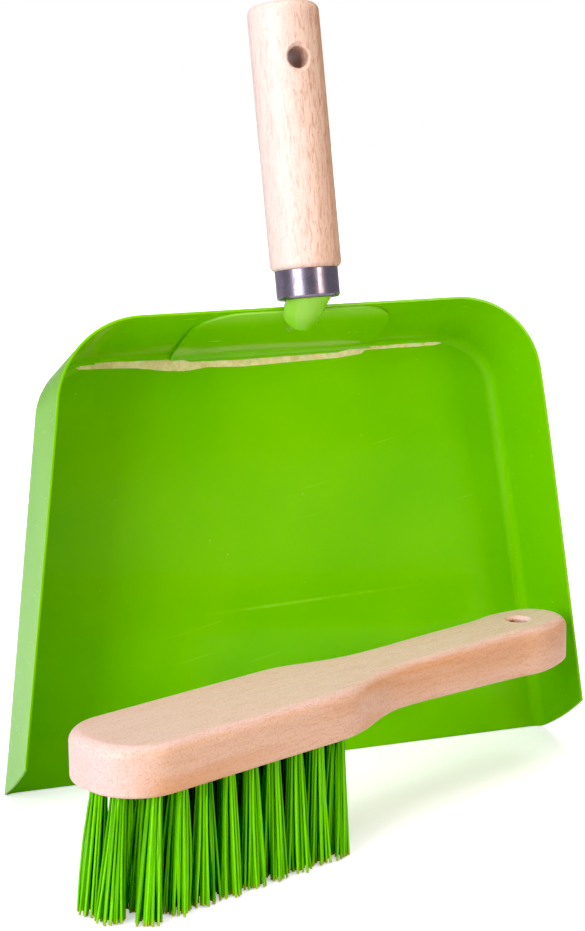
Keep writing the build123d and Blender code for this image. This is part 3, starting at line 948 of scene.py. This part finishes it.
        # painted highlight on the bracket's neck, starting a little below the tray's rim
        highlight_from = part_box("pan_tray")[1].z - self.highlight_below_rim
        bracket = EnamelFinish(
            name="bracket_enamel_gloss",
            depth_of_shine=1.45,
            lacquer=0.8,
            highlight_above=Ramp(highlight_from, highlight_from + self.highlight_fade, to_high=self.highlight_cover),
        )
        dress("handle_bracket", bracket.mix())
        hand_over(self.lay_cream_strip(), Body.DUSTPAN, CreamStripFinish().mix())


@dataclass
class PanGrip:
    """The pan's turned wooden handle and its steel ferrule."""

    axis: Vector = Vector((-0.0172, 0.1809, 0.9834)).normalized()

    def build(self) -> None:
        """Dress the handle in pale wood and the ferrule in polished steel."""
        low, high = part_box("pan_handle")
        wood = WoodFinish(
            name="pan_handle_beech",
            pale=paint(230, 196, 170),
            warm=paint(212, 164, 126),
            pore=paint(176, 108, 60),
            left_sheen_and_tone=paint(240, 220, 213),
            grain=self.axis,
            centre=(low + high) / 2,
            bore=hang_hole("pan_hang_hole"),
        )
        dress("pan_handle", wood.mix())
        low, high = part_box("ferrule")
        dress("ferrule", SteelFinish(axis=self.axis, centre=(low + high) / 2).mix())


@dataclass
class Strand:
    """One filament, drawn straight up from its cut tip at the origin."""

    radius: float = 0.00045
    length: float = 0.046
    sides: int = 6
    bow: float = 0.0
    stations: tuple[float, ...] = (0.25, 0.5, 0.75)
    tip_share: float = 0.94
    ring_reach: float = 0.1 * MM
    round_below: float = math.radians(62)

    def draw(self, name: str) -> Shape:
        """Draw the filament: cut it into lengths, bow it and nip its tip.

        Args:
            name: The master filament's name.

        Returns:
            The master filament, to be copied.
        """
        deselect_all()
        middle = (0.0, 0.0, self.length / 2)
        bpy.ops.mesh.primitive_cylinder_add(
            vertices=self.sides, radius=self.radius, depth=self.length, location=middle
        )
        strand = bpy.context.active_object
        strand.name = name
        bpy.ops.object.transform_apply(location=True, rotation=True, scale=True)
        edit()
        for share in self.stations:
            bpy.ops.mesh.select_all(action="SELECT")
            level = (0.0, 0.0, self.length * share)
            bpy.ops.mesh.bisect(plane_co=level, plane_no=(0.0, 0.0, 1.0))
        leave_edit()
        for share in self.stations:
            self.take_ring(strand, self.length * share)
            push = self.bow * math.sin(math.pi * share)
            bpy.ops.transform.translate(value=(push, 0.0, 0.0), orient_type="GLOBAL")
            leave_edit()
        self.take_ring(strand, 0.0)
        nip = (self.tip_share, self.tip_share, 1.0)
        bpy.ops.transform.resize(value=nip, center_override=(0.0, 0.0, 0.0))
        leave_edit()
        bpy.ops.object.shade_smooth_by_angle(angle=self.round_below)
        return strand

    def take_ring(self, strand: Shape, height: float) -> None:
        """Select the ring of points at one height, in edit mode.

        Args:
            strand: The filament being drawn.
            height: The ring's height, in metres.
        """
        edit()
        bpy.ops.mesh.select_mode(type="VERT")
        bpy.ops.mesh.select_all(action="DESELECT")
        leave_edit()
        for corner in strand.data.vertices:
            corner.select = abs(corner.co.z - height) < self.ring_reach
        edit()


@dataclass
class BrushHead:
    """The brush block, its staples and its ranks of filament tufts."""

    corner: Vector = Vector((-104.0, -58.15, 0.0)) * MM
    yaw: float = math.radians(23.0)
    trim: float = 41.4
    bury: float = 3.5
    ranks: int = 10
    outer_first: float = 14.0
    inner_first: float = 18.2
    pitch: float = 9.62
    outer_row: float = 13.8
    inner_row: float = 4.7
    end_rank: float = 7.4
    root_radius: float = 2.5
    tip_radius: float = 4.5
    splays: tuple[float, ...] = (-5.6, -4.2, -2.4, -1.3, -0.7, -0.3, 0.0, -0.2, -0.6, -1.2)
    strands_per_tuft: int = 36
    bows: tuple[float, ...] = (0.0, 0.0005, 0.0010, 0.0016)
    stray: float = 0.75
    far_stray: float = 1.9
    far_chance: float = 0.09
    root_inset: float = 0.42
    tip_lift: float = 0.12
    tip_unevenness: float = 0.24
    bow_spread: float = 1.3
    shade_spread: float = 0.3
    inner_shade: float = 0.5
    open_end: float = 26.0
    seed: int = 29

    def along(self) -> Vector:
        """Give the direction of the brush's length."""
        return Vector((math.cos(self.yaw), math.sin(self.yaw), 0.0))

    def at(self, length: float, side: float, height: float) -> Vector:
        """Place a point on the brush.

        Args:
            length: Millimetres from the block's left end.
            side: Millimetres from its middle line, towards the pan.
            height: Millimetres above the ground.

        Returns:
            The point, in metres.
        """
        across = Vector((-math.sin(self.yaw), math.cos(self.yaw), 0.0))
        flat = self.corner + (self.along() * length + across * side) * MM
        return flat + Vector((0.0, 0.0, height * MM))

    def tuft_places(self, rank: int) -> list[tuple[float, float]]:
        """Give the tufts of one rank.

        Args:
            rank: The rank's number, from 0 at the left end.

        Returns:
            Each tuft's place along the block and off its middle line.
        """
        if rank == 0:
            return [(self.end_rank, -self.inner_row), (self.end_rank, self.inner_row)]
        outer = self.outer_first + self.pitch * (rank - 1)
        inner = self.inner_first + self.pitch * (rank - 1)
        return [
            (outer, -self.outer_row),
            (inner, -self.inner_row),
            (inner, self.inner_row),
            (outer, self.outer_row),
        ]

    def plant(
        self, masters: list[Shape], place: tuple[float, float], splay: float, dice: random.Random
    ) -> list[Shape]:
        """Plant one tuft of filaments.

        Args:
            masters: The filaments to copy, each bowed a little more.
            place: The tuft's place along the block and off its middle line.
            splay: How far its tips lean along the block, in millimetres.
            dice: The source of its unevenness.

        Returns:
            The planted filaments.
        """
        planted = []
        golden = math.pi * (3.0 - math.sqrt(5.0))
        turn = dice.uniform(0.0, math.tau)
        for number in range(self.strands_per_tuft):
            share = math.sqrt((number + 0.5) / self.strands_per_tuft)
            angle = turn + golden * number
            spot = Vector((math.cos(angle), math.sin(angle))) * share
            stray = self.far_stray if dice.random() < self.far_chance else self.stray
            tip_off = spot * self.tip_radius
            tip_off += Vector((dice.uniform(-stray, stray), dice.uniform(-stray, stray)))
            tip_off.x += splay
            root_off = spot * (self.root_radius - self.root_inset)
            lift = self.tip_lift + abs(dice.gauss(0.0, self.tip_unevenness))
            tip = self.at(place[0] + tip_off.x, place[1] + tip_off.y, lift)
            root = self.at(place[0] + root_off.x, place[1] + root_off.y, self.trim + self.bury)
            bow = int(abs(dice.gauss(0.0, self.bow_spread)))
            master = masters[min(bow, len(masters) - 1)]
            # painted shade: inner tufts past the open end get a deeper colour
            hidden = abs(place[1]) < self.outer_row and place[0] > self.open_end
            shaded = self.inner_shade if hidden else 0.0
            planted.append(self.copy_strand(master, tip, root, shaded, dice))
        return planted

    def copy_strand(
        self, master: Shape, tip: Vector, root: Vector, shaded: float, dice: random.Random
    ) -> Shape:
        """Copy a filament, with a mesh of its own, between two points.

        Args:
            master: The filament to copy.
            tip: Where its cut tip is.
            root: Where it ends inside the block.
            shaded: How much painted shade it gets, on top of its random tone, for standing inside
                the brush.
            dice: The source of its turn and its shade.

        Returns:
            The copy.
        """
        strand = master.copy()
        strand.data = master.data.copy()
        run = root - tip
        lean = run.to_track_quat("Z", "Y").to_matrix().to_4x4()
        twist = Matrix.Rotation(dice.uniform(0.0, math.tau), 4, "Z")
        reach = Matrix.Diagonal((1.0, 1.0, run.length / Strand.length, 1.0))
        strand.matrix_world = Matrix.Translation(tip) @ lean @ twist @ reach
        shade = strand.data.attributes.new(STRAND_SHADE, "FLOAT", "POINT")
        depth = min(1.0, shaded + abs(dice.gauss(0.0, self.shade_spread)))
        shade.data.foreach_set("value", [depth] * len(strand.data.vertices))
        bpy.context.collection.objects.link(strand)
        return strand

    def build_rank(self, rank: int, masters: list[Shape], dice: random.Random) -> Shape:
        """Build one rank of tufts as one piece.

        Args:
            rank: The rank's number, from 0 at the left end.
            masters: The filaments to copy.
            dice: The source of its unevenness.

        Returns:
            The rank of filaments, joined.
        """
        strands = []
        for place in self.tuft_places(rank):
            strands += self.plant(masters, place, self.splays[rank], dice)
        deselect_all()
        for strand in strands:
            strand.select_set(True)
        bpy.context.view_layer.objects.active = strands[0]
        bpy.ops.object.join()
        bpy.ops.object.transform_apply(location=True, rotation=True, scale=True)
        joined = bpy.context.active_object
        joined.name = joined.data.name = f"bristles_rank_{rank + 1:02d}"
        return joined

    def build(self) -> None:
        """Dress the block and the staples, and plant every rank of tufts."""
        low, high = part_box("brush_block")
        wood = WoodFinish(
            name="brush_block_beech",
            pale=paint(226, 184, 156),
            warm=paint(216, 160, 116),
            pore=paint(188, 122, 78),
            top_light_and_tone=paint(232, 198, 192),
            end_light_and_tone=paint(236, 210, 208),
            fleck_cover=Ramp(0.5, 0.72, to_high=0.55),
            fleck=Cloud(0.0006, rough=0.7),
            wrinkle_cover=0.4,
            side_shade_reach=0.15,
            grain=self.along(),
            centre=(low + high) / 2,
            bore=hang_hole("brush_hang_hole"),
            band=Cloud(0.010, warp=0.9),
            wrinkle=Cloud(0.0008, detail=3.0, rough=0.6, warp=1.2),
            wrinkle_stretch=12.0,
            wrinkle_relief=Relief(0.00012, 0.8),
        )
        dress("brush_block", wood.mix())
        filament = FilamentFinish().mix()
        wire = WireFinish().mix()
        masters = [Strand(bow=bow).draw(f"strand_{i}") for i, bow in enumerate(self.bows)]
        dice = random.Random(self.seed)
        for rank in range(self.ranks):
            tufts = self.build_rank(rank, masters, dice)
            hand_over(tufts, Body.BRUSH, filament)
            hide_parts(f"tufts_rank_{rank + 1:02d}")
            dress(f"anchors_rank_{rank + 1:02d}", wire)
        for master in masters:
            bpy.data.objects.remove(master, do_unlink=True)


@dataclass
class Softbox:
    """One square soft light, aimed at the set."""

    name: str
    place: Vector
    size: float
    power: float
    aim: Vector = Vector((0.0, 0.0, 0.1))
    colour: tuple[float, float, float] = (1.0, 1.0, 1.0)

    def hang(self) -> None:
        """Hang the light where it shines on the set and out of the view."""
        bpy.ops.object.light_add(type="AREA", location=self.place)
        lamp = bpy.context.active_object
        lamp.name = self.name
        lamp.data.shape = "SQUARE"
        lamp.data.size = self.size
        lamp.data.energy = self.power
        lamp.data.color = self.colour
        lamp.rotation_euler = (self.aim - self.place).to_track_quat("-Z", "Y").to_euler()
        lamp.visible_camera = False


@dataclass
class Studio:
    """A pale table, soft lights and the camera."""

    table_size: float = 8.0
    camera_place: Vector = Vector((-0.2614, -0.68405, 0.2698))
    facing: tuple[float, float] = (math.radians(19.68), math.radians(11.26))
    roll: float = math.radians(-0.75)
    lens: float = 85.45
    room_light: float = 0.3
    near_glow: float = 0.45
    far_glow: float = 1.0
    glow_reach: tuple[float, float] = (0.35, 1.6)
    table_drop: float = 0.2 * MM
    table_light: Colour = (0.94, 0.90, 0.94, 1.0)
    table_dim: Colour = (0.91, 0.87, 0.91, 1.0)
    table_tone: Cloud = Cloud(0.4)
    sensor: float = 36.0
    near_clip: float = 0.01
    black_level: float = 0.014
    softboxes: tuple[Softbox, ...] = (
        Softbox("key_softbox", Vector((-1.45, -0.95, 0.75)), 0.9, 24.0),
        Softbox("top_softbox", Vector((0.0, -0.2, 1.7)), 1.4, 19.0, colour=(1.0, 0.95, 1.0)),
        Softbox("warm_strip", Vector((0.75, -1.35, 0.55)), 0.4, 4.5, colour=(1.0, 0.85, 0.66)),
        Softbox("rim_softbox", Vector((-1.3, 1.3, 0.7)), 1.0, 2.0),
    )

    def lay_table(self) -> None:
        """Lay the pale table under the set."""
        deselect_all()
        below = (0.0, 0.0, -self.table_drop)
        bpy.ops.mesh.primitive_plane_add(size=self.table_size, location=below)
        table = bpy.context.active_object
        table.name = "table_top"
        bench = ShaderBench("pale_table")
        tone = bench.noise(bench.plain_place(), self.table_tone)
        colour = bench.coat_over(self.table_light, self.table_dim, tone)
        bench.set_skin(Base_Color=colour, Roughness=0.7, Specular_IOR_Level=0.2)
        seen = bench.add("ShaderNodeLightPath").outputs["Is Camera Ray"]
        away = bench.add("ShaderNodeVectorMath")
        away.operation = "LENGTH"
        bench.feed(away, 0, bench.plain_place())
        rising = Ramp(*self.glow_reach, self.near_glow, self.far_glow)
        glow = bench.times(bench.spread(away.outputs["Value"], rising), seen)
        bench.set_skin(Emission_Color=WHITE, Emission_Strength=glow)
        table.data.materials.append(bench.material)

    def light_room(self) -> None:
        """Fill the room with soft light, and keep what lies behind pale."""
        world = bpy.data.worlds.new("studio_room")
        world.use_nodes = True
        tree = world.node_tree
        tree.nodes.clear()
        out = tree.nodes.new("ShaderNodeOutputWorld")
        glow = tree.nodes.new("ShaderNodeBackground")
        glow.inputs["Color"].default_value = WHITE
        path = tree.nodes.new("ShaderNodeLightPath")
        level = tree.nodes.new("ShaderNodeMapRange")
        level.inputs["To Min"].default_value = self.room_light
        level.inputs["To Max"].default_value = 1.0
        tree.links.new(path.outputs["Is Camera Ray"], level.inputs["Value"])
        tree.links.new(level.outputs["Result"], glow.inputs["Strength"])
        tree.links.new(glow.outputs["Background"], out.inputs["Surface"])
        bpy.context.scene.world = world

    def set_camera(self) -> None:
        """Set the camera up with its bearing, its tilt and its small roll."""
        azimuth, elevation = self.facing
        ahead = Vector(
            (
                math.sin(azimuth) * math.cos(elevation),
                math.cos(azimuth) * math.cos(elevation),
                -math.sin(elevation),
            )
        )
        level_right = Vector((math.cos(azimuth), -math.sin(azimuth), 0.0))
        level_up = level_right.cross(ahead)
        right = level_right * math.cos(self.roll) + level_up * math.sin(self.roll)
        up = level_up * math.cos(self.roll) - level_right * math.sin(self.roll)
        turn = Matrix((right, up, -ahead)).transposed().to_4x4()
        bpy.ops.object.camera_add()
        camera = bpy.context.active_object
        camera.name = "studio_camera"
        camera.matrix_world = Matrix.Translation(self.camera_place) @ turn
        camera.data.sensor_width = self.sensor
        camera.data.lens = self.lens
        camera.data.clip_start = self.near_clip
        bpy.context.scene.camera = camera

    def build(self) -> None:
        """Lay the table, hang the lights and set up the camera."""
        self.lay_table()
        self.light_room()
        for softbox in self.softboxes:
            softbox.hang()
        self.set_camera()
        grading = bpy.context.scene.view_settings
        grading.view_transform = "Standard"
        grading.use_curve_mapping = True
        grading.curve_mapping.black_level = (self.black_level,) * 3
        grading.curve_mapping.update()
        log.info("studio: table, lights and camera are up")


def main() -> None:
    """Build the set in order: sheetwork, grip, brush, studio."""
    logging.basicConfig(level=logging.INFO, format="%(name)s %(message)s", stream=sys.stdout)
    PanSheetwork().build()
    PanGrip().build()
    BrushHead().build()
    Studio().build()


if __name__ == "__main__":
    main()
